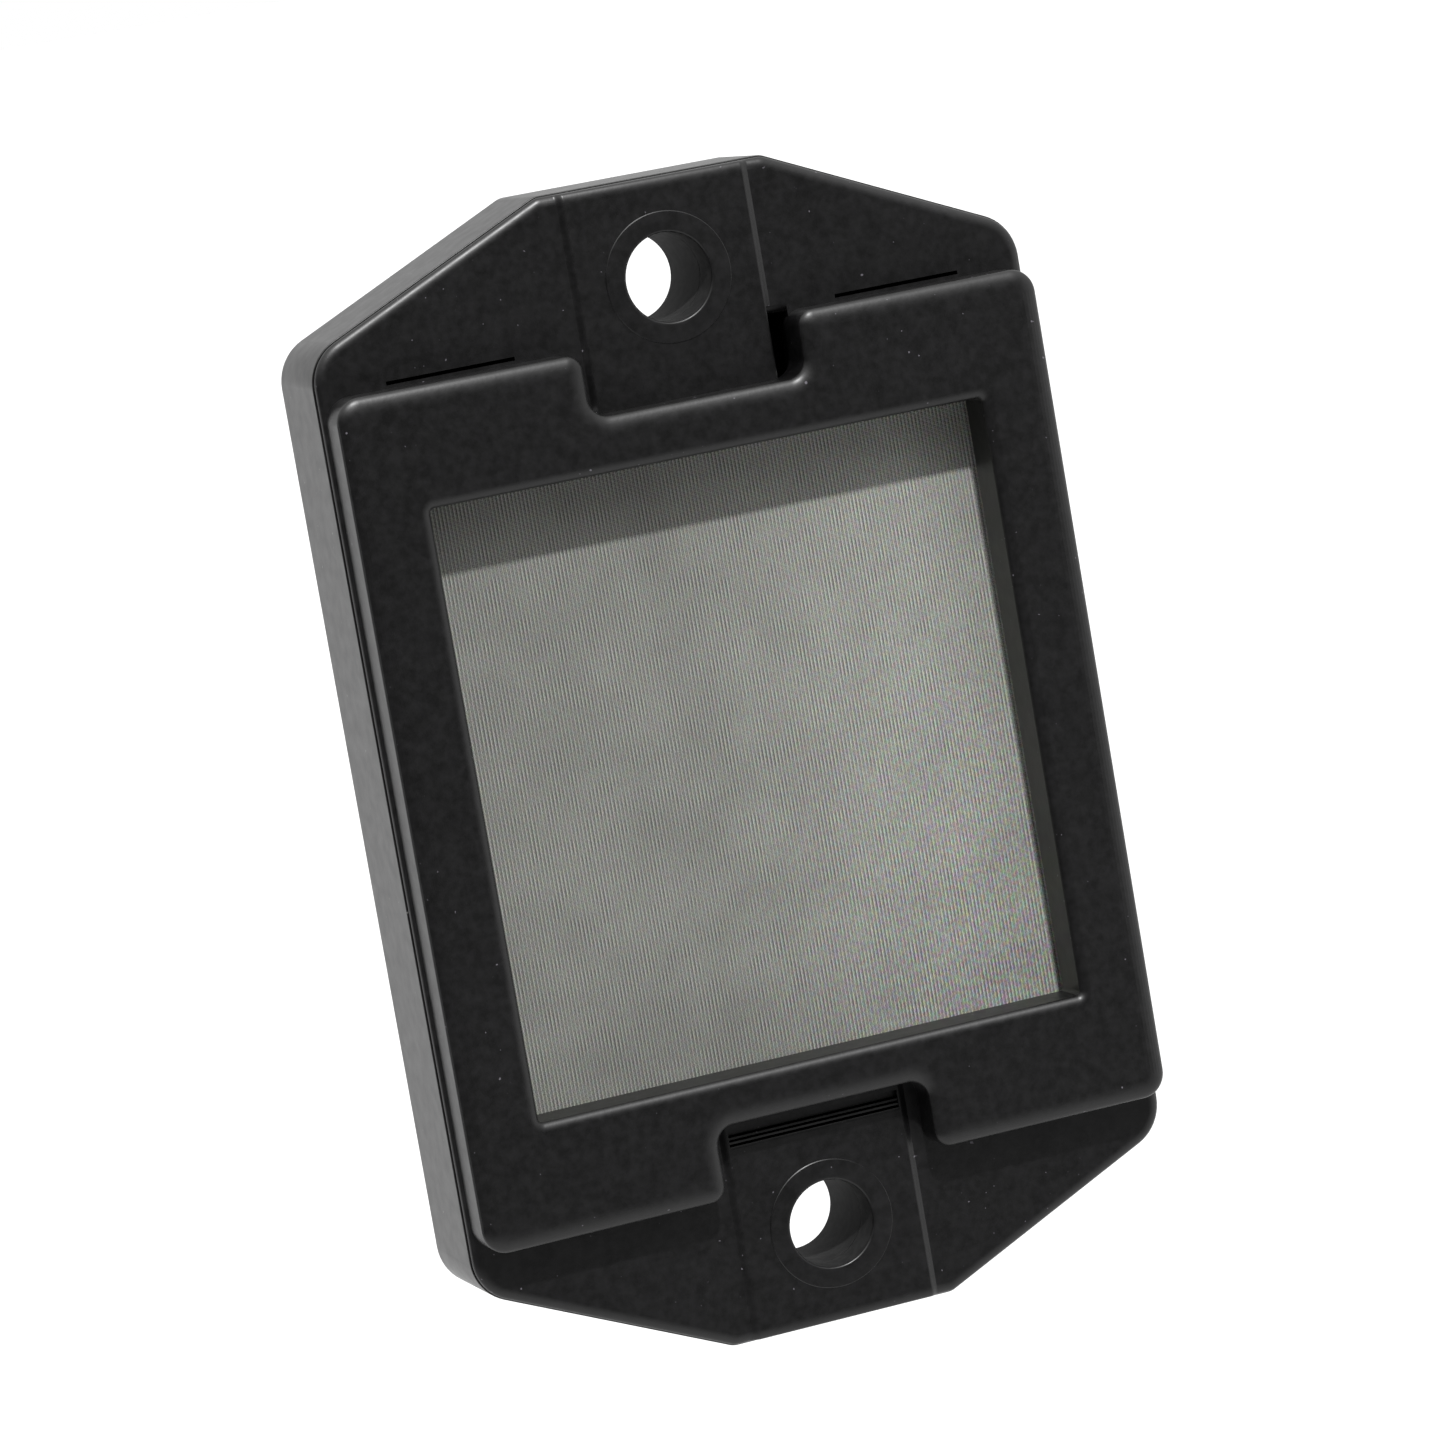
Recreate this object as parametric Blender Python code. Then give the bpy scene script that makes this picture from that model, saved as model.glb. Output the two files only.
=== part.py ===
"""Two-hole microprism retroreflector for photoelectric sensors.

A flat moulded housing, screwed to a wall or bracket through two holes, with a square
window over a sheet of fine corner-cube prisms.  Two shells are welded round their rim
and hold the sheet and its carrier plate between them.

Frame: metres, +Z up along the long axis, +X to the right seen from the front, and the
front looks along -Y.  The origin is the middle of the flat mounting face, which lies in
the plane Y = 0.  Depths below are distances in front of that plane.
"""
import math

import bmesh
import bpy
from mathutils import Matrix

MM = 0.001

# Outline of the housing: straight sides, tapered ends, flat tips.
HALF_WIDTH = 19.4 * MM
HALF_LENGTH = 30.25 * MM
HALF_STRAIGHT = 24.3 * MM
HALF_TIP = 6.2 * MM
SIDE_CORNER = 2.2 * MM
TIP_CORNER = 0.9 * MM
BACK_EDGE = 0.2 * MM

# Depths of the levels in front of the mounting face.
FLOOR_FRONT = 1.6 * MM
RIB_FRONT = 2.8 * MM
CARRIER_BACK = 3.1 * MM
CARRIER_FRONT = 4.6 * MM
SHEET_BACK = 4.9 * MM
SHEET_FRONT = 5.3 * MM
BOSS_FRONT = 4.6 * MM
SPIGOT_BACK = 4.9 * MM
WINDOW_RIM_BACK = 5.6 * MM
RIM_FRONT = 5.7 * MM
COVER_BACK = 6.0 * MM
EAR_FRONT = 6.45 * MM
LAND_FRONT = 6.65 * MM
FRAME_FRONT = 8.6 * MM

# Rear shell.
WALL = 1.7 * MM
CLEARANCE = 0.3 * MM
RIB_WIDTH = 1.0 * MM
RIB_PITCH = 8.5 * MM
RIB_SPAN = 30.0 * MM
LATCH_RIB_TOP = 4.6 * MM
BOSS_RADIUS = 3.9 * MM

# Screw holes.
HOLE_OFFSET = 25.0 * MM
HOLE_RADIUS = 2.3 * MM
SEAT_RADIUS = 3.4 * MM
SEAT_RISE = 0.06 * MM

# Front cover.
COVER_INSET = 0.2 * MM
EAR_EDGE = 0.2 * MM
LAND_HALF = 5.1 * MM
LAND_INSET = 0.3 * MM
FRAME_HALF_WIDTH = 19.15 * MM
FRAME_HALF_LENGTH = 22.13 * MM
FRAME_CORNER = 1.3 * MM
FRAME_EDGE = 0.72 * MM
NOTCH_HALF = 5.9 * MM
NOTCH_FLOOR = 18.6 * MM
NOTCH_OUTER = 0.8 * MM
NOTCH_INNER = 0.95 * MM
WINDOW_HALF_WIDTH = 15.15 * MM
WINDOW_HALF_LENGTH = 15.95 * MM
WINDOW_CORNER = 0.6 * MM
MOULD_WALL = 1.3 * MM
TRENCH = (5.2 * MM, 5.8 * MM)
TRENCH_LENGTH = (19.7 * MM, 22.0 * MM)
TRENCH_BACK = 5.3 * MM
POCKET_FRONT = 7.2 * MM
POCKET_HALF_LENGTH = 17.5 * MM
STACK_HALF = 18.3 * MM
TOP_SLOT = (9.1 * MM, 15.7 * MM)
TOP_SLOT_HEIGHT = (22.35 * MM, 22.65 * MM)
DRAIN_SLOT_HALF = 4.76 * MM
DRAIN_SLOT_HEIGHT = (18.95 * MM, 19.9 * MM)

# Prism sheet and its carrier.
SHEET_HALF_WIDTH = 16.5 * MM
SHEET_HALF_LENGTH = 17.3 * MM
CARRIER_HALF_WIDTH = 17.2 * MM
CARRIER_HALF_LENGTH = 18.0 * MM

CORNER_STEPS = 5
EDGE_STEPS = 3
ROUND_SIDES = 40
MERGE = 0.00001
THROUGH = 20 * MM


def clear_scene():
    for obj in list(bpy.data.objects):
        bpy.data.objects.remove(obj, do_unlink=True)


def make_collections():
    names = ("prism_reflector", "cutters")
    made = []
    for name in names:
        collection = bpy.data.collections.new(name)
        bpy.context.scene.collection.children.link(collection)
        made.append(collection)
    return made


def plastic(name, color, roughness):
    material = bpy.data.materials.new(name)
    material.use_nodes = True
    shader = material.node_tree.nodes["Principled BSDF"]
    shader.inputs["Base Color"].default_value = (*color, 1.0)
    shader.inputs["Roughness"].default_value = roughness
    shader.inputs["Metallic"].default_value = 0.0
    return material


def arc_corner(before, corner, after, radius):
    """Points of the arc that rounds one corner of an outline."""
    to_before = (before[0] - corner[0], before[1] - corner[1])
    to_after = (after[0] - corner[0], after[1] - corner[1])
    len_before = math.hypot(*to_before)
    len_after = math.hypot(*to_after)
    u = (to_before[0] / len_before, to_before[1] / len_before)
    v = (to_after[0] / len_after, to_after[1] / len_after)
    half = math.acos(max(-1.0, min(1.0, u[0] * v[0] + u[1] * v[1]))) / 2
    bisector = (u[0] + v[0], u[1] + v[1])
    length = math.hypot(*bisector)
    reach = radius / math.sin(half)
    center = (corner[0] + bisector[0] / length * reach, corner[1] + bisector[1] / length * reach)
    tangent = radius / math.tan(half)
    start = (corner[0] + u[0] * tangent, corner[1] + u[1] * tangent)
    end = (corner[0] + v[0] * tangent, corner[1] + v[1] * tangent)
    angle_start = math.atan2(start[1] - center[1], start[0] - center[0])
    sweep = math.atan2(end[1] - center[1], end[0] - center[0]) - angle_start
    sweep = (sweep + math.pi) % (2 * math.pi) - math.pi
    points = []
    for step in range(CORNER_STEPS + 1):
        angle = angle_start + sweep * step / CORNER_STEPS
        points.append((center[0] + radius * math.cos(angle), center[1] + radius * math.sin(angle)))
    return points


def rounded(corners):
    """Closed outline from (x, z, radius) corners."""
    outline = []
    for index, (x, z, radius) in enumerate(corners):
        before = corners[index - 1]
        after = corners[(index + 1) % len(corners)]
        if radius > 0:
            outline += arc_corner(before[:2], (x, z), after[:2], radius)
        else:
            outline.append((x, z))
    return outline


def four_way(quarter):
    """Mirror the first-quadrant corners of an outline into all four, anticlockwise."""
    right_top = list(quarter)
    left_top = [(-x, z, r) for x, z, r in reversed(quarter)]
    left_bottom = [(-x, -z, r) for x, z, r in quarter]
    right_bottom = [(x, -z, r) for x, z, r in reversed(quarter)]
    return rounded(right_top + left_top + left_bottom + right_bottom)


def housing_outline(inset):
    """The housing's eight-sided outline, moved inwards by the inset."""
    slope = math.hypot(HALF_WIDTH - HALF_TIP, HALF_LENGTH - HALF_STRAIGHT)
    rise = (HALF_LENGTH - HALF_STRAIGHT) / slope
    run = (HALF_WIDTH - HALF_TIP) / slope
    straight = HALF_STRAIGHT - inset * (1 - rise) / run
    tip = HALF_TIP - inset * (1 - run) / rise
    return four_way([
        (HALF_WIDTH - inset, straight, SIDE_CORNER),
        (tip, HALF_LENGTH - inset, TIP_CORNER),
    ])


def box_outline(half_width, half_length, corner):
    return four_way([(half_width, half_length, corner)])


def frame_outline():
    """The raised frame's outline, with a notch in the middle of each end."""
    return four_way([
        (FRAME_HALF_WIDTH, FRAME_HALF_LENGTH, FRAME_CORNER),
        (NOTCH_HALF, FRAME_HALF_LENGTH, NOTCH_OUTER),
        (NOTCH_HALF, NOTCH_FLOOR, NOTCH_INNER),
    ])


def slab(name, outlines, back, front):
    """A flat solid between two depths: the first outline is its edge, the others holes."""
    curve = bpy.data.curves.new(name, "CURVE")
    curve.dimensions = "2D"
    curve.fill_mode = "BOTH"
    curve.extrude = (front - back) / 2
    for outline in outlines:
        spline = curve.splines.new("POLY")
        spline.points.add(len(outline) - 1)
        for point, (x, z) in zip(spline.points, outline):
            point.co = (x, z, 0.0, 1.0)
        spline.use_cyclic_u = True
    guide = bpy.data.objects.new(name, curve)
    guide.rotation_euler = (math.pi / 2, 0.0, 0.0)
    guide.location = (0.0, -(back + front) / 2, 0.0)
    bpy.context.scene.collection.objects.link(guide)
    bpy.context.view_layer.update()
    evaluated = guide.evaluated_get(bpy.context.evaluated_depsgraph_get())
    mesh = bpy.data.meshes.new_from_object(evaluated)
    mesh.transform(guide.matrix_world)
    bpy.data.objects.remove(guide, do_unlink=True)
    shape = bmesh.new()
    shape.from_mesh(mesh)
    bmesh.ops.remove_doubles(shape, verts=shape.verts, dist=MERGE)
    bmesh.ops.recalc_face_normals(shape, faces=shape.faces)
    shape.to_mesh(mesh)
    shape.free()
    mesh.name = name
    return bpy.data.objects.new(name, mesh)


def cylinder(name, radius, back, front, z):
    mesh = bpy.data.meshes.new(name)
    shape = bmesh.new()
    turn = Matrix.Translation((0.0, -(back + front) / 2, z)) @ Matrix.Rotation(math.pi / 2, 4, "X")
    bmesh.ops.create_cone(shape, cap_ends=True, segments=ROUND_SIDES, radius1=radius,
                          radius2=radius, depth=front - back, matrix=turn)
    shape.to_mesh(mesh)
    shape.free()
    return bpy.data.objects.new(name, mesh)


def box(name, x_range, depth_range, z_range):
    mesh = bpy.data.meshes.new(name)
    shape = bmesh.new()
    bmesh.ops.create_cube(shape, size=1.0)
    sizes = (x_range[1] - x_range[0], depth_range[1] - depth_range[0], z_range[1] - z_range[0])
    bmesh.ops.scale(shape, vec=sizes, verts=shape.verts)
    middle = (sum(x_range) / 2, -sum(depth_range) / 2, sum(z_range) / 2)
    bmesh.ops.translate(shape, vec=middle, verts=shape.verts)
    shape.to_mesh(mesh)
    shape.free()
    return bpy.data.objects.new(name, mesh)


def round_rim(obj, depth, width):
    """Round the sharp edges that lie at one depth of a slab."""
    shape = bmesh.new()
    shape.from_mesh(obj.data)
    rim = [
        edge for edge in shape.edges
        if all(abs(vert.co.y + depth) < MERGE for vert in edge.verts)
        and edge.calc_face_angle(0.0) > 1.0
    ]
    bmesh.ops.bevel(shape, geom=rim, offset=width, segments=EDGE_STEPS, profile=0.5, affect="EDGES")
    shape.to_mesh(obj.data)
    shape.free()


def combine(obj, tool, operation, cutters):
    """Cut one solid with another or join them, and hide the tool."""
    cutters.objects.link(tool)
    tool.hide_render = True
    tool.display_type = "WIRE"
    step = obj.modifiers.new(tool.name, "BOOLEAN")
    step.operation = operation
    step.solver = "EXACT"
    step.object = tool


def finish(obj, material, collection):
    obj.data.materials.clear()
    obj.data.materials.append(material)
    obj.data.shade_smooth()
    obj.data.set_sharp_from_angle(angle=math.radians(35))
    collection.objects.link(obj)
    return obj


def rear_shell(collection, cutters, material):
    """Tray with a flat back, a perimeter wall, a rib grid and two screw bosses."""
    shell = slab("rear_shell", [housing_outline(0.0)], 0.0, RIM_FRONT)
    round_rim(shell, 0.0, BACK_EDGE)
    cavity = slab("cut_cavity", [housing_outline(WALL)], FLOOR_FRONT, THROUGH)
    combine(shell, cavity, "DIFFERENCE", cutters)
    sunk = FLOOR_FRONT / 2
    for count in (-1, 0, 1):
        middle = count * RIB_PITCH
        across = (middle - RIB_WIDTH / 2, middle + RIB_WIDTH / 2)
        along = (-RIB_SPAN / 2, RIB_SPAN / 2)
        rib = box(f"rib_upright_{count + 2}", across, (sunk, RIB_FRONT), along)
        combine(shell, rib, "UNION", cutters)
        rib = box(f"rib_level_{count + 2}", along, (sunk, RIB_FRONT), across)
        combine(shell, rib, "UNION", cutters)
    latch_z = (-DRAIN_SLOT_HEIGHT[1], -DRAIN_SLOT_HEIGHT[1] + RIB_WIDTH / 2)
    latch = box("rib_latch", (-DRAIN_SLOT_HALF, DRAIN_SLOT_HALF), (sunk, LATCH_RIB_TOP), latch_z)
    combine(shell, latch, "UNION", cutters)
    for side, z in (("top", HOLE_OFFSET), ("bottom", -HOLE_OFFSET)):
        boss = cylinder(f"boss_{side}", BOSS_RADIUS, sunk, BOSS_FRONT, z)
        combine(shell, boss, "UNION", cutters)
        bore = cylinder(f"bore_rear_{side}", HOLE_RADIUS, -THROUGH, THROUGH, z)
        combine(shell, bore, "DIFFERENCE", cutters)
    return finish(shell, material, collection)


def land(side):
    """Raised flat strip that carries one screw hole, from the frame's notch to the tip."""
    sunk = (COVER_BACK + EAR_FRONT) / 2
    inner = NOTCH_FLOOR - MOULD_WALL
    outer = HALF_LENGTH - LAND_INSET
    along = tuple(sorted((side * inner, side * outer)))
    return box(f"add_land_{side + 2}", (-LAND_HALF, LAND_HALF), (sunk, LAND_FRONT), along)


def trench(side):
    """Pocket between the raised strip and one side wall of the frame's upper notch."""
    across = tuple(sorted((side * TRENCH[0], side * TRENCH[1])))
    return box(f"cut_trench_{side + 2}", across, (TRENCH_BACK, THROUGH), TRENCH_LENGTH)


def window_cut():
    """Cutter for the window, flared in a quarter round at the frame's front face."""
    outline = box_outline(WINDOW_HALF_WIDTH, WINDOW_HALF_LENGTH, WINDOW_CORNER)
    cut = slab("cut_window", [outline], -THROUGH, THROUGH)
    shape = bmesh.new()
    shape.from_mesh(cut.data)
    base = FRAME_FRONT - FRAME_EDGE
    for step in range(EDGE_STEPS + 1):
        depth = base + FRAME_EDGE * math.sin(math.pi / 2 * step / EDGE_STEPS)
        parts = list(shape.verts) + list(shape.edges) + list(shape.faces)
        bmesh.ops.bisect_plane(shape, geom=parts, dist=MERGE, plane_co=(0.0, -depth, 0.0),
                               plane_no=(0.0, 1.0, 0.0))
    for vert in shape.verts:
        share = min(1.0, max(0.0, (-vert.co.y - base) / FRAME_EDGE))
        flare = FRAME_EDGE * (1 - math.sqrt(1 - share * share))
        vert.co.x *= 1 + flare / WINDOW_HALF_WIDTH
        vert.co.z *= 1 + flare / WINDOW_HALF_LENGTH
    shape.to_mesh(cut.data)
    shape.free()
    return cut


def side_pocket(side):
    """Hollow behind one long side of the frame, which keeps its walls even."""
    inner = WINDOW_HALF_WIDTH + MOULD_WALL
    outer = FRAME_HALF_WIDTH - MOULD_WALL
    across = tuple(sorted((side * inner, side * outer)))
    along = (-POCKET_HALF_LENGTH, POCKET_HALF_LENGTH)
    return box(f"cut_pocket_{side + 2}", across, (-THROUGH, POCKET_FRONT), along)


def top_slot(side):
    across = tuple(sorted((side * TOP_SLOT[0], side * TOP_SLOT[1])))
    return box(f"cut_top_slot_{side + 2}", across, (-THROUGH, THROUGH), TOP_SLOT_HEIGHT)


def front_cover(collection, cutters, material):
    """Cover with tapered ears, a raised frame round the window and three thin slots."""
    sunk = (COVER_BACK + EAR_FRONT) / 2
    cover = slab("front_cover", [housing_outline(COVER_INSET)], COVER_BACK, EAR_FRONT)
    round_rim(cover, EAR_FRONT, EAR_EDGE)
    spigot = slab("add_spigot", [housing_outline(WALL + CLEARANCE)], SPIGOT_BACK, sunk)
    combine(cover, spigot, "UNION", cutters)
    across = (-HALF_WIDTH, HALF_WIDTH)
    stack = box("cut_stack", across, (0.0, WINDOW_RIM_BACK), (-STACK_HALF, STACK_HALF))
    combine(cover, stack, "DIFFERENCE", cutters)
    for side in (-1, 1):
        combine(cover, land(side), "UNION", cutters)
        combine(cover, trench(side), "DIFFERENCE", cutters)
    raised = slab("add_frame", [frame_outline()], sunk, FRAME_FRONT)
    round_rim(raised, FRAME_FRONT, FRAME_EDGE)
    combine(cover, raised, "UNION", cutters)
    combine(cover, window_cut(), "DIFFERENCE", cutters)
    for side in (-1, 1):
        combine(cover, side_pocket(side), "DIFFERENCE", cutters)
        combine(cover, top_slot(side), "DIFFERENCE", cutters)
    low = tuple(sorted((-DRAIN_SLOT_HEIGHT[0], -DRAIN_SLOT_HEIGHT[1])))
    drain = box("cut_drain_slot", (-DRAIN_SLOT_HALF, DRAIN_SLOT_HALF), (-THROUGH, THROUGH), low)
    combine(cover, drain, "DIFFERENCE", cutters)
    for side in (-1, 1):
        z = side * HOLE_OFFSET
        seat = cylinder(f"add_seat_{side + 2}", SEAT_RADIUS, sunk, LAND_FRONT + SEAT_RISE, z)
        combine(cover, seat, "UNION", cutters)
        bore = cylinder(f"cut_front_bore_{side + 2}", HOLE_RADIUS, -THROUGH, THROUGH, z)
        combine(cover, bore, "DIFFERENCE", cutters)
    return finish(cover, material, collection)


def prism_sheet(collection, material):
    """Microprism sheet behind the window."""
    outline = box_outline(SHEET_HALF_WIDTH, SHEET_HALF_LENGTH, WINDOW_CORNER)
    return finish(slab("prism_sheet", [outline], SHEET_BACK, SHEET_FRONT), material, collection)


def sheet_carrier(collection, material):
    """Stiff plate that the sheet lies on and the rib grid backs."""
    outline = box_outline(CARRIER_HALF_WIDTH, CARRIER_HALF_LENGTH, SIDE_CORNER)
    return finish(slab("sheet_carrier", [outline], CARRIER_BACK, CARRIER_FRONT), material, collection)


def main():
    clear_scene()
    parts, cutters = make_collections()
    black_rear = plastic("black_rear", (0.021, 0.021, 0.021), 0.42)
    black_front = plastic("black_front", (0.019, 0.019, 0.02), 0.4)
    prism_grey = plastic("prism_grey", (0.22, 0.225, 0.205), 0.35)
    carrier_white = plastic("carrier_white", (0.62, 0.62, 0.6), 0.5)
    rear_shell(parts, cutters, black_rear)
    front_cover(parts, cutters, black_front)
    prism_sheet(parts, prism_grey)
    sheet_carrier(parts, carrier_white)


main()
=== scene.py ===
"""The looks of a two-hole microprism retroreflector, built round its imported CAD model.

Lengths are written in millimetres and turned into metres when a mesh is made.  X and Z are
the frame's own axes, and a depth is a distance in front of the mounting face, along -Y.
"""
import math

import bmesh
import bpy
import numpy as np
from mathutils import Matrix, Vector


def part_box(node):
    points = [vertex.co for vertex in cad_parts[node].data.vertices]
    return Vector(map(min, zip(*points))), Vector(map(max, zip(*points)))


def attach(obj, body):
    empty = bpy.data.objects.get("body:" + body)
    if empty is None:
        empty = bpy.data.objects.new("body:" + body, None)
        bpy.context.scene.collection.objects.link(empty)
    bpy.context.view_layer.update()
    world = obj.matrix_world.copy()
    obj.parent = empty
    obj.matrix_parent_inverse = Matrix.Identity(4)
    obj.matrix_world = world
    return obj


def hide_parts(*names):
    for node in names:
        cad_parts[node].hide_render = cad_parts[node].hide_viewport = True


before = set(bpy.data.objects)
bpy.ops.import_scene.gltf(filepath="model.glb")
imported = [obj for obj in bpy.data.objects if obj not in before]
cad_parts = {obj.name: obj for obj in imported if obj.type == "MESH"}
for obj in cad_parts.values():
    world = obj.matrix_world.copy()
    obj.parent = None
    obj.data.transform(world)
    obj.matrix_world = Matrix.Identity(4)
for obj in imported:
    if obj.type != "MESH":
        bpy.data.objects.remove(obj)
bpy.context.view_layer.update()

MM = 0.001


def span(node):
    """A node's lowest and highest (x, depth, z) in millimetres."""
    low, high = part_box(node)
    return (low.x / MM, -high.y / MM, low.z / MM), (high.x / MM, -low.y / MM, high.z / MM)


REAR_LOW, REAR_HIGH = span("rear_shell")
COVER_LOW, COVER_HIGH = span("front_cover")
SHEET_LOW, SHEET_HIGH = span("prism_sheet")

# Housing outline, from the rear shell's box and the tapered ends' proportions.
HALF_WIDTH = REAR_HIGH[0]
HALF_LENGTH = REAR_HIGH[2]
HALF_STRAIGHT = 24.3
HALF_TIP = 6.2
SIDE_CORNER = 2.5
TIP_CORNER = 1.1
BACK_EDGE = 0.15
RIM_EDGE = 0.06

WALL = 1.7

# Levels in front of the mounting face.
FLOOR_FRONT = 1.6
BOSS_FRONT = 4.87
RIM_FRONT = 5.98
SHEET_FRONT = SHEET_HIGH[1]
PLUG_BACK = COVER_LOW[1]
COVER_BACK = RIM_FRONT + 0.05
EAR_FRONT = 6.45
LAND_FRONT = 6.65
TRENCH_FLOOR = 4.0
FRAME_FRONT = COVER_HIGH[1]
BEHIND = -1.0
BEYOND = 14.0

# Screw holes.
HOLE_OFFSET = 25.0
HOLE_RADIUS = 2.3
HOLE_EDGE = 0.12
HOLE_STEPS = 4
BACK_FLARE = 0.25
BOSS_RADIUS = 3.9
SEAT_RADIUS = 3.4
SEAT_RISE = 0.06

# Front cover.  An edge is the (width, height) of the quarter ellipse it turns through.
COVER_INSET = 0.08
COVER_BACK_EDGE = 0.05
EAR_EDGE = (0.6, 0.34)
PLUG_GAP = 0.3
PLUG_START = 18.3
PLUG_OVERLAP = 0.2

# Raised strip along the middle of each end, and the pocket on each side of the upper one,
# by the side of the object that it's on.
LAND_TOP = 4.82
LAND_FOOT = 5.3
LAND_FOOT_SINK = 0.01
LAND_BURIED = 6.16
LAND_START = 17.0
LAND_INSET = 0.1
LAND_EDGE = (0.6, 0.25)
TRENCH_START = {1: 4.92, -1: 5.55}
TRENCH_END = {1: 22.1, -1: 21.0}
TRENCH_ROUND = 0.45
TRENCH_OVERLAP = 0.2

# Raised frame and window.
FRAME_SUNK = 0.02
FRAME_HALF_WIDTH = 19.1
FRAME_HALF_LENGTH = 22.13
FRAME_CORNER = 1.3
FRAME_EDGE = (1.05, 0.42)
NOTCH_HALF = 5.9
NOTCH_TOP_FLOOR = 18.78
NOTCH_LOW_FLOOR = 18.35
NOTCH_OUTER = 0.85
NOTCH_INNER = 1.0
WINDOW_HALF_WIDTH = 15.15
WINDOW_HALF_LENGTH = 15.92
WINDOW_CORNER = 0.25
WINDOW_EDGE = (0.6, 0.35)

# Slots, and the ledges in the drain slot as (near, far, front, fall of the front) rows.
TOP_SLOT = (8.8, 15.7)
TOP_SLOT_HEIGHT = (22.3, 22.5)
DRAIN_HALF = 4.76
DRAIN_HEIGHT = (18.9, 19.85)
DRAIN_BEVEL = 0.16
LEDGES = ((18.85, 19.28, 6.3, 0.0), (19.36, 19.46, 6.6, 0.04), (19.6, 19.7, 6.6, 0.04))
LEDGE_OVERLAP = 0.03

# Prism sheet, with the grey of each facet direction as painted light and shade: facets facing right and
# down are painted lighter, facets facing left and up darker.
GROOVE_PITCH = 0.2
PRISM_HEIGHT = 0.018
FACET_LIGHT_AND_SHADE = (("film_right_painted_light", 0.25), ("film_left_painted_shade", 0.135),
                ("film_upper_painted_shade", 0.155), ("film_lower_painted_light", 0.25))

# Mesh detail.
BROAD_FACE = 4.0
SMOOTH_ANGLE = math.radians(32)
ARC_STEPS = 10
EDGE_STEPS = 8
ROUND_SIDES = 96
LEAST_RADIUS = 0.25


# ---------------------------------------------------------------- outlines and solids

def inset_corners(corners, inset):
    """Move every side of an anticlockwise outline inwards, and keep its round corners round."""
    moved = []
    count = len(corners)
    for index, (x, z, radius) in enumerate(corners):
        before = corners[index - 1]
        after = corners[(index + 1) % count]
        first = Vector((x - before[0], z - before[1])).normalized()
        second = Vector((after[0] - x, after[1] - z)).normalized()
        inward_first = Vector((-first.y, first.x))
        inward_second = Vector((-second.y, second.x))
        shift = (inward_first + inward_second) * inset / (1 + inward_first.dot(inward_second))
        convex = first.x * second.y - first.y * second.x > 0
        changed = radius - inset if convex else radius + inset
        moved.append((x + shift.x, z + shift.y, max(changed, LEAST_RADIUS)))
    return moved


def round_corners(corners):
    """Points of an outline whose corners are arcs, the same number at every corner."""
    points = []
    count = len(corners)
    for index, (x, z, radius) in enumerate(corners):
        corner = Vector((x, z))
        before = (Vector(corners[index - 1][:2]) - corner).normalized()
        after = (Vector(corners[(index + 1) % count][:2]) - corner).normalized()
        half = before.angle(after) / 2
        center = corner + (before + after).normalized() * radius / math.sin(half)
        start = corner + before * radius / math.tan(half) - center
        end = corner + after * radius / math.tan(half) - center
        turn = start.angle_signed(end)
        for step in range(ARC_STEPS + 1):
            point = start.copy()
            point.rotate(Matrix.Rotation(-turn * step / ARC_STEPS, 2))
            points.append(center + point)
    return points


def four_way(quarter):
    """Mirror first-quadrant corners into all four quadrants, anticlockwise."""
    right_top = list(quarter)
    left_top = [(-x, z, r) for x, z, r in reversed(quarter)]
    left_low = [(-x, -z, r) for x, z, r in quarter]
    right_low = [(x, -z, r) for x, z, r in reversed(quarter)]
    return right_top + left_top + left_low + right_low


def housing_corners(inset=0.0):
    corners = four_way([(HALF_WIDTH, HALF_STRAIGHT, SIDE_CORNER),
                        (HALF_TIP, HALF_LENGTH, TIP_CORNER)])
    return inset_corners(corners, inset)


def frame_corners():
    """Outline of the raised frame: a rectangle with a notch in the middle of each end."""
    top = [(FRAME_HALF_WIDTH, FRAME_HALF_LENGTH, FRAME_CORNER),
           (NOTCH_HALF, FRAME_HALF_LENGTH, NOTCH_OUTER),
           (NOTCH_HALF, NOTCH_TOP_FLOOR, NOTCH_INNER)]
    low = [(x, NOTCH_LOW_FLOOR if z == NOTCH_TOP_FLOOR else z, r) for x, z, r in top]
    top_left = [(-x, z, r) for x, z, r in reversed(top)]
    low_left = [(-x, -z, r) for x, z, r in low]
    low_right = [(x, -z, r) for x, z, r in reversed(low)]
    return top + top_left + low_left + low_right


def window_corners():
    return four_way([(WINDOW_HALF_WIDTH, WINDOW_HALF_LENGTH, WINDOW_CORNER)])


def sweep(name, layers, clean=False):
    """A closed solid through sections given as lists of (x, depth, z), all the same length."""
    mesh = bpy.data.meshes.new(name)
    shape = bmesh.new()
    rows = [[shape.verts.new((x * MM, -d * MM, z * MM)) for x, d, z in layer] for layer in layers]
    for near, far in zip(rows, rows[1:]):
        for index in range(len(near)):
            after = (index + 1) % len(near)
            shape.faces.new((near[index], near[after], far[after], far[index]))
    shape.faces.new(rows[0])
    shape.faces.new(rows[-1])
    if clean:
        bmesh.ops.remove_doubles(shape, verts=shape.verts, dist=0.002 * MM)
        bmesh.ops.dissolve_degenerate(shape, edges=shape.edges, dist=0.001 * MM)
    bmesh.ops.recalc_face_normals(shape, faces=shape.faces)
    shape.to_mesh(mesh)
    shape.free()
    return bpy.data.objects.new(name, mesh)


def loft(name, rings):
    """A closed solid through a stack of rings, each given as (points, depth), back to front."""
    return sweep(name, [[(x, depth, z) for x, z in points] for points, depth in rings], clean=True)


def quarter_turn(steps=EDGE_STEPS, first=0):
    """Sine and cosine of the even steps of a quarter turn."""
    angles = [math.pi / 2 * step / steps for step in range(first, steps + 1)]
    return [(math.sin(angle), math.cos(angle)) for angle in angles]


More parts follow.
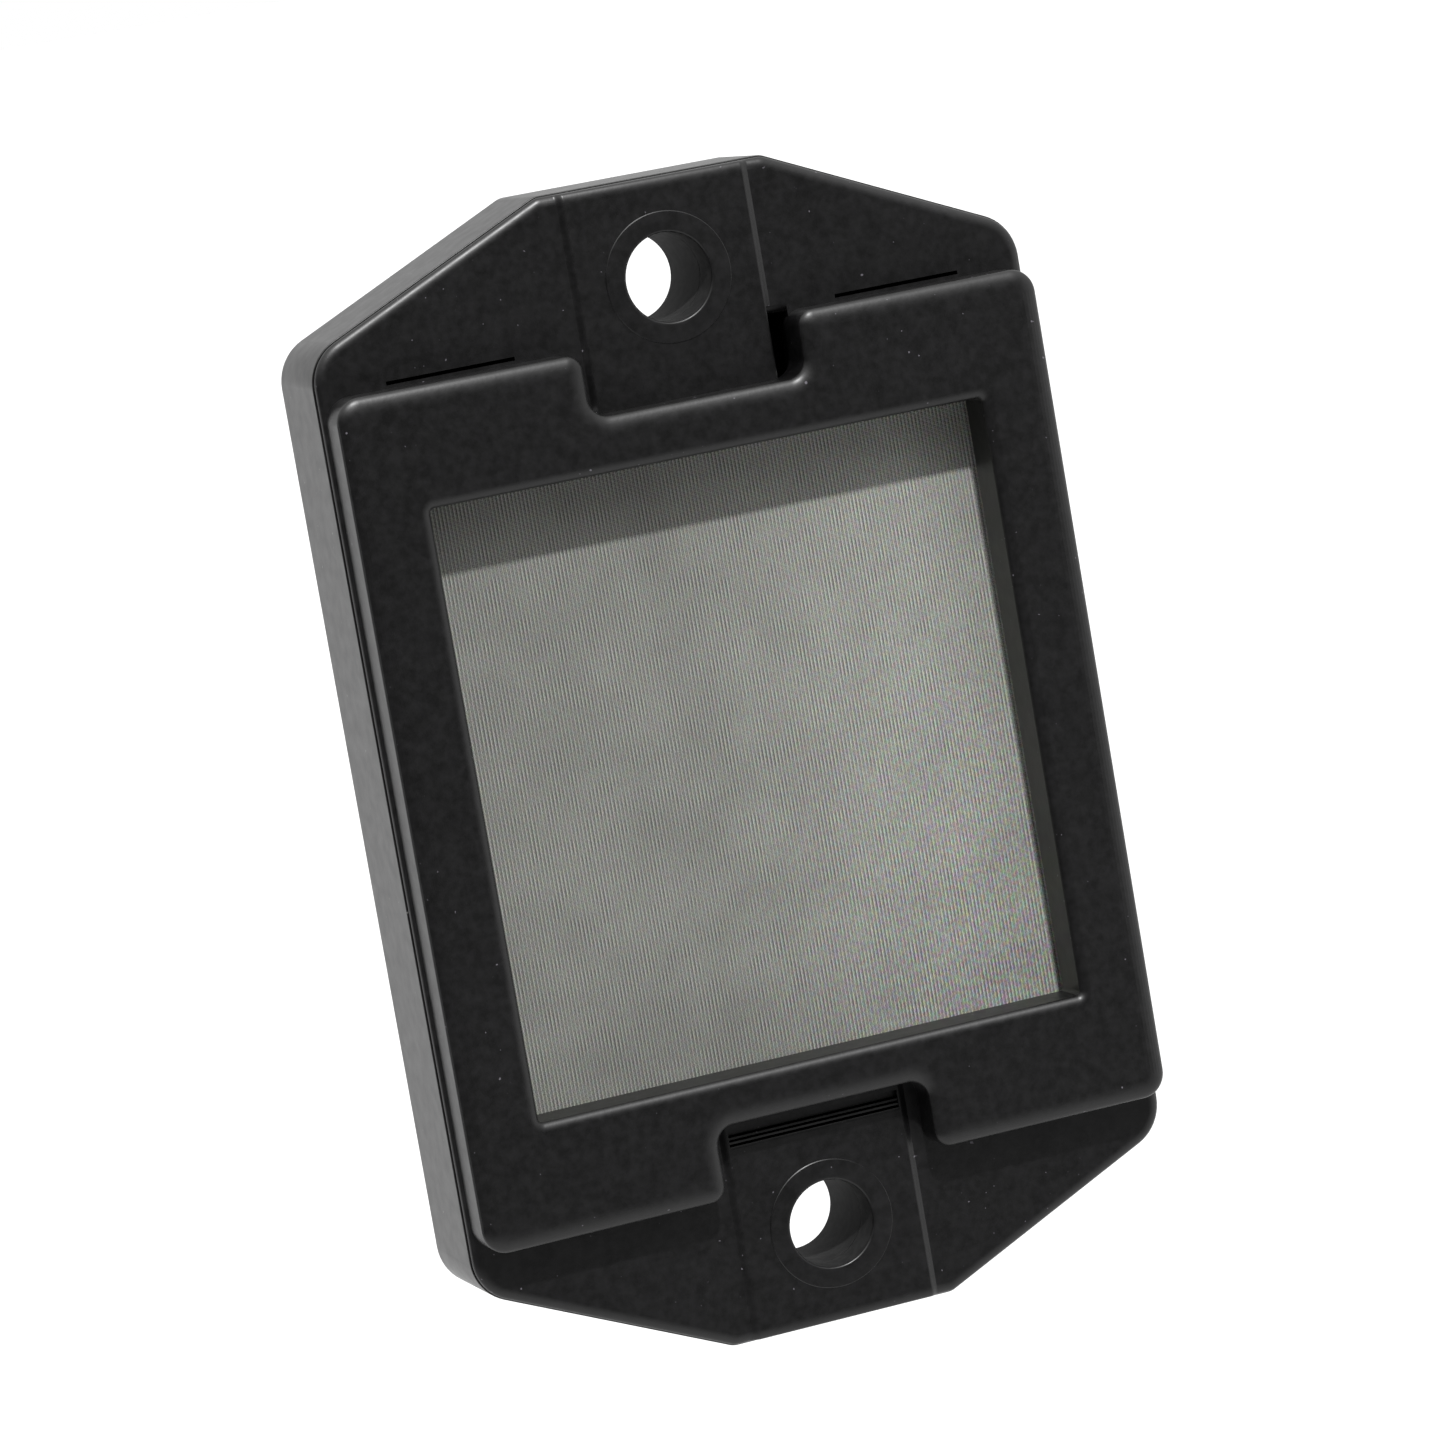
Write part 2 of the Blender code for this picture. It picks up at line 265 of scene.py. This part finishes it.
def quarter_round(corners, edge, front):
    """Rings of a rolled front edge."""
    width, height = edge
    rings = []
    for sine, cosine in quarter_turn():
        ring = round_corners(inset_corners(corners, width * (1 - cosine)))
        rings.append((ring, front - height * (1 - sine)))
    return rings


def round_back(corners, radius, back):
    """Rings of a rounded back edge, up to the full outline."""
    rings = []
    for sine, cosine in reversed(quarter_turn(first=1)):
        ring = round_corners(inset_corners(corners, radius * (1 - cosine)))
        rings.append((ring, back + radius * (1 - sine)))
    return rings + [(round_corners(corners), back + radius)]


def circle(radius, z):
    points = []
    for step in range(ROUND_SIDES):
        angle = 2 * math.pi * step / ROUND_SIDES
        points.append((radius * math.cos(angle), z + radius * math.sin(angle)))
    return points


def turned(name, profile, z):
    """A solid turned about a screw hole's axis, from (radius, depth) pairs, back to front."""
    return loft(name, [(circle(radius, z), depth) for radius, depth in profile])


def box(name, x_range, depths, z_range):
    (left, right), (low, high) = x_range, z_range
    corners = [(right, high), (left, high), (left, low), (right, low)]
    return loft(name, [(corners, depth) for depth in depths])


def combine(solid, tool, operation):
    """Apply one exact Boolean and throw the tool away."""
    scene = bpy.context.scene.collection
    for obj in (solid, tool):
        if obj.name not in scene.objects:
            scene.objects.link(obj)
    step = solid.modifiers.new("combine", "BOOLEAN")
    step.operation = operation
    step.solver = "EXACT"
    step.object = tool
    bpy.context.view_layer.update()
    result = bpy.data.meshes.new_from_object(solid.evaluated_get(bpy.context.evaluated_depsgraph_get()))
    solid.modifiers.clear()
    solid.data = result
    bpy.data.objects.remove(tool, do_unlink=True)


def keep_flat_faces(mesh):
    """Give every corner of a broad face that face's own normal, so that it shades flat."""
    normals = [tuple(corner.vector) for corner in mesh.corner_normals]
    broad = {}
    for face in mesh.polygons:
        if face.area > BROAD_FACE * MM * MM:
            for corner in face.loop_indices:
                broad.setdefault(mesh.loops[corner].vertex_index, []).append(face.normal.copy())
    for face in mesh.polygons:
        for corner in face.loop_indices:
            near = broad.get(mesh.loops[corner].vertex_index, [])
            match = [n for n in near if n.dot(face.normal) > math.cos(SMOOTH_ANGLE)]
            if match:
                normals[corner] = tuple(max(match, key=face.normal.dot))
    mesh.normals_split_custom_set(normals)


def dress(obj, material, node):
    """Shade and register a finished shell, with a second material on its screw holes' walls."""
    mesh = obj.data
    mesh.materials.clear()
    mesh.materials.append(material)
    mesh.materials.append(bore_black())
    for face in mesh.polygons:
        x, z = face.center.x / MM, abs(face.center.z / MM) - HOLE_OFFSET
        if math.hypot(x, z) < HOLE_RADIUS + 0.02 and abs(face.normal.y) < 0.5:
            face.material_index = 1
    mesh.shade_smooth()
    mesh.set_sharp_from_angle(angle=SMOOTH_ANGLE)
    keep_flat_faces(mesh)
    register(obj, node)


def register(obj, node):
    """Attach a finished piece to the root body and hide the CAD node that it takes the place of."""
    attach(obj, "root")
    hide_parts(node)


# ---------------------------------------------------------------- rear shell

def make_rear_shell(material):
    outline = housing_corners()
    rings = round_back(outline, BACK_EDGE, 0.0)
    rings += quarter_round(outline, (RIM_EDGE, RIM_EDGE), RIM_FRONT)
    shell = loft("rear_shell_body", rings)
    cavity = round_corners(housing_corners(WALL))
    combine(shell, loft("cavity", [(cavity, FLOOR_FRONT), (cavity, BEYOND)]), "DIFFERENCE")
    bore_profile = [(HOLE_RADIUS + 2 * BACK_FLARE, BEHIND), (HOLE_RADIUS + BACK_FLARE, 0.0),
                    (HOLE_RADIUS, BACK_FLARE), (HOLE_RADIUS, BEYOND)]
    for z in (HOLE_OFFSET, -HOLE_OFFSET):
        boss = turned("boss", [(BOSS_RADIUS, FLOOR_FRONT / 2), (BOSS_RADIUS, BOSS_FRONT)], z)
        combine(shell, boss, "UNION")
        combine(shell, turned("bore", bore_profile, z), "DIFFERENCE")
    dress(shell, material, "rear_shell")


# ---------------------------------------------------------------- front cover

def land_section():
    """Section of the raised strip: flat on top, with a gentle S-shaped step on each side."""
    right = [(LAND_FOOT, LAND_BURIED)]
    foot = EAR_FRONT - LAND_FOOT_SINK
    for step in range(EDGE_STEPS * 2 + 1):
        share = step / (EDGE_STEPS * 2)
        width = LAND_FOOT + (LAND_TOP - LAND_FOOT) * share
        blend = share * share * (3 - 2 * share)
        right.append((width, foot + (LAND_FRONT - foot) * blend))
    return right + [(-width, depth) for width, depth in reversed(right)]


def land(end):
    """Raised strip round one screw hole, rounded over the tip of the housing."""
    reach, fall = LAND_EDGE
    start = HALF_LENGTH - LAND_INSET - reach
    stations = [(LAND_START, 0.0), (start, 0.0)]
    for sine, cosine in quarter_turn(first=1):
        stations.append((start + reach * sine, fall * (1 - cosine)))
    section = land_section()
    layers = []
    for along, drop in stations:
        layers.append([(w, max(d - drop, LAND_BURIED), end * along) for w, d in section])
    return sweep("land", layers)


def trench(side):
    """Cutter for the narrow pocket between the strip and one side wall of the upper notch."""
    left, right = sorted((side * TRENCH_START[side], side * (NOTCH_HALF + TRENCH_OVERLAP)))
    top = LAND_FRONT + 0.3
    stations = [(NOTCH_TOP_FLOOR - 0.3, TRENCH_FLOOR), (TRENCH_END[side], TRENCH_FLOOR)]
    for sine, cosine in quarter_turn():
        along = TRENCH_END[side] + 0.01 + TRENCH_ROUND * (1 - cosine)
        stations.append((along, EAR_FRONT - TRENCH_ROUND * (1 - sine)))
    layers = []
    for z, floor in stations:
        layers.append([(left, floor, z), (right, floor, z), (right, top, z), (left, top, z)])
    return sweep("trench", layers)


def window_cutter():
    """Cutter for the window, which flares in a quarter round at the frame's front."""
    corners = window_corners()
    width, height = WINDOW_EDGE
    start = FRAME_FRONT - height
    rings = [(round_corners(corners), 0.0), (round_corners(corners), start)]
    for sine, cosine in quarter_turn(first=1):
        flare = width * (1 - cosine)
        rings.append((round_corners(inset_corners(corners, -flare)), start + height * sine))
    rings.append((round_corners(inset_corners(corners, -width - 0.05)), BEYOND))
    return loft("window", rings)


def hole_cutter(z):
    """Cutter for one screw hole and its small rolled edge."""
    front = LAND_FRONT + SEAT_RISE
    profile = [(HOLE_RADIUS, BEHIND), (HOLE_RADIUS, front - HOLE_EDGE)]
    for sine, cosine in quarter_turn(HOLE_STEPS, first=1):
        radius = HOLE_RADIUS + HOLE_EDGE * (1 - cosine)
        profile.append((radius, front - HOLE_EDGE * (1 - sine)))
    profile.append((HOLE_RADIUS + HOLE_EDGE + 0.02, front + 1.0))
    return turned("hole", profile, z)


def screw_seat(z):
    """Faintly raised seat round one screw hole, with a narrow bevel round its rim."""
    rim = LAND_FRONT + SEAT_RISE * 0.75
    profile = [(SEAT_RADIUS, LAND_FRONT - 0.2), (SEAT_RADIUS, rim - 0.03),
               (SEAT_RADIUS - 0.04, rim), (SEAT_RADIUS - 0.1, rim + 0.004),
               (HOLE_RADIUS + 0.25, LAND_FRONT + SEAT_RISE)]
    return turned("seat", profile, z)


def end_plug(end):
    """Thick end of the cover, which drops inside the rear shell's wall."""
    half = HALF_WIDTH - WALL - PLUG_GAP
    tip = [(x, z) for x, z in round_corners(housing_corners(WALL + PLUG_GAP)) if z > PLUG_START]
    outline = [(x, end * z) for x, z in [(half, PLUG_START)] + tip + [(-half, PLUG_START)]]
    return loft("plug", [(outline, PLUG_BACK), (outline, COVER_BACK + PLUG_OVERLAP)])


def drain_cutter():
    """Cutter for the drain slot, whose lower edge is bevelled at the front."""
    near, far = DRAIN_HEIGHT
    rings = []
    for grow, depth in ((0.0, 0.0), (0.0, LAND_FRONT - 0.06),
                        (DRAIN_BEVEL, LAND_FRONT + 0.003), (DRAIN_BEVEL, BEYOND)):
        low = -far - grow
        rings.append(([(DRAIN_HALF, -near), (-DRAIN_HALF, -near),
                       (-DRAIN_HALF, low), (DRAIN_HALF, low)], depth))
    return loft("drain", rings)


def ledge(near, far, front, fall):
    """Thin bar across the drain slot, with its front sloping back towards the top."""
    back = PLUG_BACK + 0.1
    half = DRAIN_HALF + LEDGE_OVERLAP
    section = [(back, -far), (back, -near), (front - fall, -near), (front, -far)]
    return sweep("ledge", [[(x, d, z) for d, z in section] for x in (-half, half)])


def make_front_cover(material):
    plate = housing_corners(COVER_INSET)
    rings = round_back(plate, COVER_BACK_EDGE, COVER_BACK)
    rings += quarter_round(plate, EAR_EDGE, EAR_FRONT)
    cover = loft("front_cover_body", rings)
    for end in (1, -1):
        combine(cover, end_plug(end), "UNION")
        combine(cover, land(end), "UNION")
        combine(cover, screw_seat(end * HOLE_OFFSET), "UNION")
    for side in (1, -1):
        combine(cover, trench(side), "DIFFERENCE")
    outline = frame_corners()
    rings = [(round_corners(outline), COVER_BACK + FRAME_SUNK)]
    rings += quarter_round(outline, FRAME_EDGE, FRAME_FRONT)
    combine(cover, loft("raised_frame", rings), "UNION")
    combine(cover, window_cutter(), "DIFFERENCE")
    for side in (1, -1):
        slot_x = tuple(sorted((side * TOP_SLOT[0], side * TOP_SLOT[1])))
        combine(cover, box("slot", slot_x, (0.0, BEYOND), TOP_SLOT_HEIGHT), "DIFFERENCE")
        combine(cover, hole_cutter(side * HOLE_OFFSET), "DIFFERENCE")
    combine(cover, drain_cutter(), "DIFFERENCE")
    for sizes in LEDGES:
        combine(cover, ledge(*sizes), "UNION")
    dress(cover, material, "front_cover")


# ---------------------------------------------------------------- prism sheet

def prism_cells():
    """Corner-cube cells on a triangular lattice: corners and peaks, as (x, z, height) rows."""
    side = GROOVE_PITCH * 2 / math.sqrt(3)
    columns = int((SHEET_HIGH[0] - SHEET_LOW[0]) / GROOVE_PITCH)
    rows = int((SHEET_HIGH[2] - SHEET_LOW[2]) / side)
    left = (SHEET_LOW[0] + SHEET_HIGH[0] - columns * GROOVE_PITCH) / 2
    low = (SHEET_LOW[2] + SHEET_HIGH[2] - rows * side) / 2
    column, row = np.meshgrid(np.arange(columns + 1), np.arange(rows + 1), indexing="ij")
    x = left + column * GROOVE_PITCH
    z = low + (row + 0.5 * (column % 2)) * side
    corners = np.stack((x, z), axis=-1).reshape(-1, 2)
    number = column * (rows + 1) + row
    cells = []
    for start in range(columns):
        near, far = number[start], number[start + 1]
        if start % 2:
            near, far = far, near
        cells.append(np.stack((near[:-1], near[1:], far[:-1]), axis=-1))
        cells.append(np.stack((far[:-1], near[1:], far[1:]), axis=-1))
    cells = np.concatenate(cells)
    peaks = corners[cells].mean(axis=1)
    return corners, peaks, cells


def make_sheet():
    """The prism film as real relief, with three facets to every corner cube."""
    corners, peaks, cells = prism_cells()
    base = SHEET_FRONT - PRISM_HEIGHT
    places = np.concatenate([
        np.column_stack((points[:, 0], np.full(len(points), -depth), points[:, 1]))
        for points, depth in ((corners, base), (peaks, SHEET_FRONT))])
    tops = np.arange(len(cells)) + len(corners)
    facets = np.concatenate([
        np.column_stack((cells[:, index], cells[:, (index + 1) % 3], tops)) for index in range(3)])
    mesh = bpy.data.meshes.new("prism_film")
    mesh.from_pydata((places * MM).tolist(), [], facets.tolist())
    shape = bmesh.new()
    shape.from_mesh(mesh)
    rim = [edge for edge in shape.edges if edge.is_boundary]
    walls = bmesh.ops.extrude_edge_only(shape, edges=rim)["geom"]
    for vert in walls:
        if isinstance(vert, bmesh.types.BMVert):
            vert.co.y = -SHEET_LOW[1] * MM
    back = [edge for edge in walls if isinstance(edge, bmesh.types.BMEdge) and edge.is_boundary]
    bmesh.ops.edgeloop_fill(shape, edges=back)
    bmesh.ops.recalc_face_normals(shape, faces=shape.faces)
    shape.to_mesh(mesh)
    shape.free()
    sheet = bpy.data.objects.new("prism_film", mesh)
    # Painted light and shade: each facet direction gets its own grey, lighter for facets facing right
    # and down, darker for facets facing left and up.
    for name, level in FACET_LIGHT_AND_SHADE:
        mesh.materials.append(prism_film(name, level))
    normals = np.empty(len(mesh.polygons) * 3)
    mesh.polygons.foreach_get("normal", normals)
    across, _, up = normals.reshape(-1, 3).T
    facet_light_slot = np.where(np.abs(up) < 0.02, np.where(across > 0, 0, 1), np.where(up > 0, 2, 3))
    mesh.polygons.foreach_set("material_index", facet_light_slot.astype(np.int32))
    bpy.context.scene.collection.objects.link(sheet)
    register(sheet, "prism_sheet")


# ---------------------------------------------------------------- materials

def new_material(name):
    material = bpy.data.materials.new(name)
    material.use_nodes = True
    return material, material.node_tree.nodes, material.node_tree.links


def math_node(nodes, links, operation, *inputs):
    """A math node fed by sockets or plain numbers."""
    node = nodes.new("ShaderNodeMath")
    node.operation = operation
    for socket, value in zip(node.inputs, inputs):
        if isinstance(value, (int, float)):
            socket.default_value = value
        else:
            links.new(value, socket)
    return node.outputs["Value"]


def noise(nodes, links, place, scale, detail=2.0):
    """A noise pattern fixed to the object, with its scale per millimetre."""
    node = nodes.new("ShaderNodeTexNoise")
    node.inputs["Scale"].default_value = scale / MM
    node.inputs["Detail"].default_value = detail
    links.new(place.outputs["Object"], node.inputs["Vector"])
    return node.outputs["Fac"]


def ramp(nodes, links, value, low, high, to_low, to_high):
    node = nodes.new("ShaderNodeMapRange")
    node.inputs["From Min"].default_value = low
    node.inputs["From Max"].default_value = high
    node.inputs["To Min"].default_value = to_low
    node.inputs["To Max"].default_value = to_high
    links.new(value, node.inputs["Value"])
    return node.outputs["Result"]


def moulded_black(name, tint, roughness):
    """Satin black plastic with a fine mottled grain and a scatter of pale dust specks."""
    material, nodes, links = new_material(name)
    shader = nodes["Principled BSDF"]
    shader.inputs["Specular IOR Level"].default_value = 0.55
    place = nodes.new("ShaderNodeTexCoord")
    mottle = ramp(nodes, links, noise(nodes, links, place, 2.6, 3.0), 0.35, 0.68, 0.0, 0.003)
    cloud = ramp(nodes, links, noise(nodes, links, place, 0.16), 0.35, 0.7, 0.0, 0.001)
    specks = ramp(nodes, links, noise(nodes, links, place, 3.6, 1.0), 0.775, 0.81, 0.0, 0.12)
    total = math_node(nodes, links, "ADD", math_node(nodes, links, "ADD", mottle, cloud), specks)
    color = nodes.new("ShaderNodeVectorMath")
    color.operation = "SCALE"
    color.inputs[0].default_value = tint
    links.new(total, color.inputs["Scale"])
    links.new(color.outputs["Vector"], shader.inputs["Base Color"])
    rough = ramp(nodes, links, noise(nodes, links, place, 1.3, 3.0), 0.3, 0.7,
                 roughness - 0.03, roughness + 0.03)
    links.new(rough, shader.inputs["Roughness"])
    bump = nodes.new("ShaderNodeBump")
    bump.inputs["Strength"].default_value = 0.2
    bump.inputs["Distance"].default_value = 0.02 * MM
    links.new(noise(nodes, links, place, 4.5, 3.0), bump.inputs["Height"])
    links.new(bump.outputs["Normal"], shader.inputs["Normal"])
    return material


def bore_black():
    """The rougher, duller plastic inside the screw holes."""
    material, nodes, links = new_material("bore_black")
    shader = nodes["Principled BSDF"]
    shader.inputs["Specular IOR Level"].default_value = 0.12
    shader.inputs["Roughness"].default_value = 0.75
    place = nodes.new("ShaderNodeTexCoord")
    shade = nodes.new("ShaderNodeCombineColor")
    level = ramp(nodes, links, noise(nodes, links, place, 2.0), 0.3, 0.7, 0.012, 0.022)
    for socket in ("Red", "Green", "Blue"):
        links.new(level, shade.inputs[socket])
    links.new(shade.outputs["Color"], shader.inputs["Base Color"])
    return material


def prism_film(name, level):
    """One facet direction of the metallised film: grey, painted brighter toward the right, with painted
    groove shade in stripes and a painted iridescent sheen that is strongest toward the lower right.
    """
    material, nodes, links = new_material(name)
    shader = nodes["Principled BSDF"]
    shader.inputs["Roughness"].default_value = 0.5
    shader.inputs["Specular IOR Level"].default_value = 0.3
    place = nodes.new("ShaderNodeTexCoord")
    split = nodes.new("ShaderNodeSeparateXYZ")
    links.new(place.outputs["Object"], split.inputs["Vector"])
    # Painted light: the film is painted brighter toward the right, from 0.94 to 1.38 times its grey.
    right_light_ramp = ramp(nodes, links, split.outputs["X"], -3.0 * MM, 11.0 * MM, 0.0, 1.0)
    # This ramp makes the painted iridescent sheen stronger toward the bottom.
    drop = ramp(nodes, links, split.outputs["Z"], 6.0 * MM, -14.0 * MM, 0.25, 1.0)
    painted_right_light = ramp(nodes, links, right_light_ramp, 0.0, 1.0, 0.94 * level, 1.38 * level)
    patchy = ramp(nodes, links, noise(nodes, links, place, 0.3), 0.3, 0.7, 0.93, 1.07)
    # Painted groove shade: stripes at the groove pitch, lighter and darker in turn, whose depth varies
    # at random.
    turns = math_node(nodes, links, "MULTIPLY", split.outputs["X"], 2 * math.pi / (GROOVE_PITCH * MM))
    depth = ramp(nodes, links, noise(nodes, links, place, 1.6, 1.0), 0.3, 0.7, 0.15, 0.6)
    groove_shade_wave = math_node(nodes, links, "MULTIPLY", math_node(nodes, links, "COSINE", turns), depth)
    painted_groove_shade = math_node(nodes, links, "ADD", groove_shade_wave, 1.0)
    total = math_node(nodes, links, "MULTIPLY", painted_right_light, patchy)
    total = math_node(nodes, links, "MULTIPLY", total, painted_groove_shade)
    tone = nodes.new("ShaderNodeCombineColor")
    # Painted iridescent sheen: the hue grain is faint everywhere and strongest toward the lower right.
    sheen_amount = math_node(nodes, links, "MULTIPLY", right_light_ramp, drop)
    sheen_amount = math_node(nodes, links, "MULTIPLY_ADD", sheen_amount, 0.16, 0.05)
    for index, (socket, base) in enumerate((("Red", 1.0), ("Green", 1.015), ("Blue", 0.93))):
        grain = noise(nodes, links, place, 3.6 + 0.5 * index, 0.0)
        hue = ramp(nodes, links, grain, 0.25, 0.75, -1.0, 1.0)
        tint = math_node(nodes, links, "MULTIPLY_ADD", hue, sheen_amount, base)
        links.new(math_node(nodes, links, "MULTIPLY", tint, total), tone.inputs[socket])
    links.new(tone.outputs["Color"], shader.inputs["Base Color"])
    return material


def carrier_plastic():
    material, nodes, links = new_material("carrier_plastic")
    shader = nodes["Principled BSDF"]
    shader.inputs["Base Color"].default_value = (0.6, 0.6, 0.58, 1.0)
    shader.inputs["Roughness"].default_value = 0.5
    return material


# ---------------------------------------------------------------- stage

def add_camera():
    """The camera, from its distance to a point on the object and its three turns."""
    distance = 325.64
    target = Vector((0.996, 0.0, 1.10))
    yaw = math.radians(-18.409)
    pitch = math.radians(7.445)
    roll = math.radians(-9.790)
    data = bpy.data.cameras.new("camera")
    data.sensor_width = 36.0
    data.lens = 154.13
    data.clip_start = 0.01
    data.clip_end = 50.0
    camera = bpy.data.objects.new("camera", data)
    bpy.context.scene.collection.objects.link(camera)
    view = Vector((math.sin(yaw) * math.cos(pitch), -math.cos(yaw) * math.cos(pitch),
                   math.sin(pitch)))
    right = (-view).cross(Vector((0, 0, 1))).normalized()
    up = right.cross(-view)
    turned_right = right * math.cos(roll) + up * math.sin(roll)
    turned_up = up * math.cos(roll) - right * math.sin(roll)
    axes = Matrix((turned_right, turned_up, view)).transposed().to_4x4()
    camera.matrix_world = Matrix.Translation((target + view * distance) * MM) @ axes
    bpy.context.scene.camera = camera


def add_floor():
    mesh = bpy.data.meshes.new("floor")
    shape = bmesh.new()
    bmesh.ops.create_grid(shape, x_segments=1, y_segments=1, size=20.0)
    bmesh.ops.translate(shape, vec=(0, 20.03, -0.12), verts=shape.verts)
    shape.to_mesh(mesh)
    shape.free()
    floor = bpy.data.objects.new("floor", mesh)
    bpy.context.scene.collection.objects.link(floor)
    material, nodes, links = new_material("pale_floor")
    shader = nodes["Principled BSDF"]
    shader.inputs["Base Color"].default_value = (0.64, 0.64, 0.64, 1.0)
    shader.inputs["Roughness"].default_value = 0.9
    mesh.materials.append(material)


def add_world():
    """A white studio, dark only on the left and in front, brightest overhead, seen as white."""
    world = bpy.data.worlds.new("studio")
    bpy.context.scene.world = world
    world.use_nodes = True
    nodes, links = world.node_tree.nodes, world.node_tree.links
    place = nodes.new("ShaderNodeTexCoord")
    split = nodes.new("ShaderNodeSeparateXYZ")
    links.new(place.outputs["Generated"], split.inputs["Vector"])
    side = ramp(nodes, links, split.outputs["X"], 0.45, 0.8, 0.0, 1.0)
    slope = math_node(nodes, links, "ABSOLUTE", split.outputs["Z"])
    height = ramp(nodes, links, slope, 0.28, 0.62, 0.0, 1.0)
    behind = ramp(nodes, links, split.outputs["Y"], -0.1, 0.35, 0.0, 1.0)
    white = math_node(nodes, links, "MAXIMUM", side, height)
    white = math_node(nodes, links, "MAXIMUM", white, behind)
    overhead = ramp(nodes, links, split.outputs["Z"], 0.3, 0.75, 0.04, 0.34)
    level = math_node(nodes, links, "MULTIPLY_ADD", white, 0.95, overhead)
    seen = nodes.new("ShaderNodeLightPath")
    pick = nodes.new("ShaderNodeMix")
    pick.data_type = "FLOAT"
    pick.inputs["B"].default_value = 1.0
    links.new(level, pick.inputs["A"])
    links.new(seen.outputs["Is Camera Ray"], pick.inputs["Factor"])
    links.new(pick.outputs["Result"], nodes["Background"].inputs["Strength"])
    nodes["Background"].inputs["Color"].default_value = (1.0, 1.0, 1.0, 1.0)


def add_key():
    """Small key light, high in front of the object."""
    data = bpy.data.lights.new("key", "SUN")
    data.energy = 3.4
    data.angle = math.radians(2.5)
    light = bpy.data.objects.new("key", data)
    toward = Vector((0.0, -0.63, 0.775))
    light.rotation_euler = toward.to_track_quat("Z", "Y").to_euler()
    bpy.context.scene.collection.objects.link(light)


def main():
    bpy.context.scene.view_settings.view_transform = "Standard"
    add_camera()
    add_world()
    add_key()
    add_floor()
    make_rear_shell(moulded_black("black_rear", (1.0, 0.99, 0.95), 0.39))
    make_front_cover(moulded_black("black_front", (1.0, 0.94, 1.08), 0.39))
    make_sheet()
    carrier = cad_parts["sheet_carrier"]
    for slot in carrier.material_slots:
        slot.material = carrier_plastic()


main()
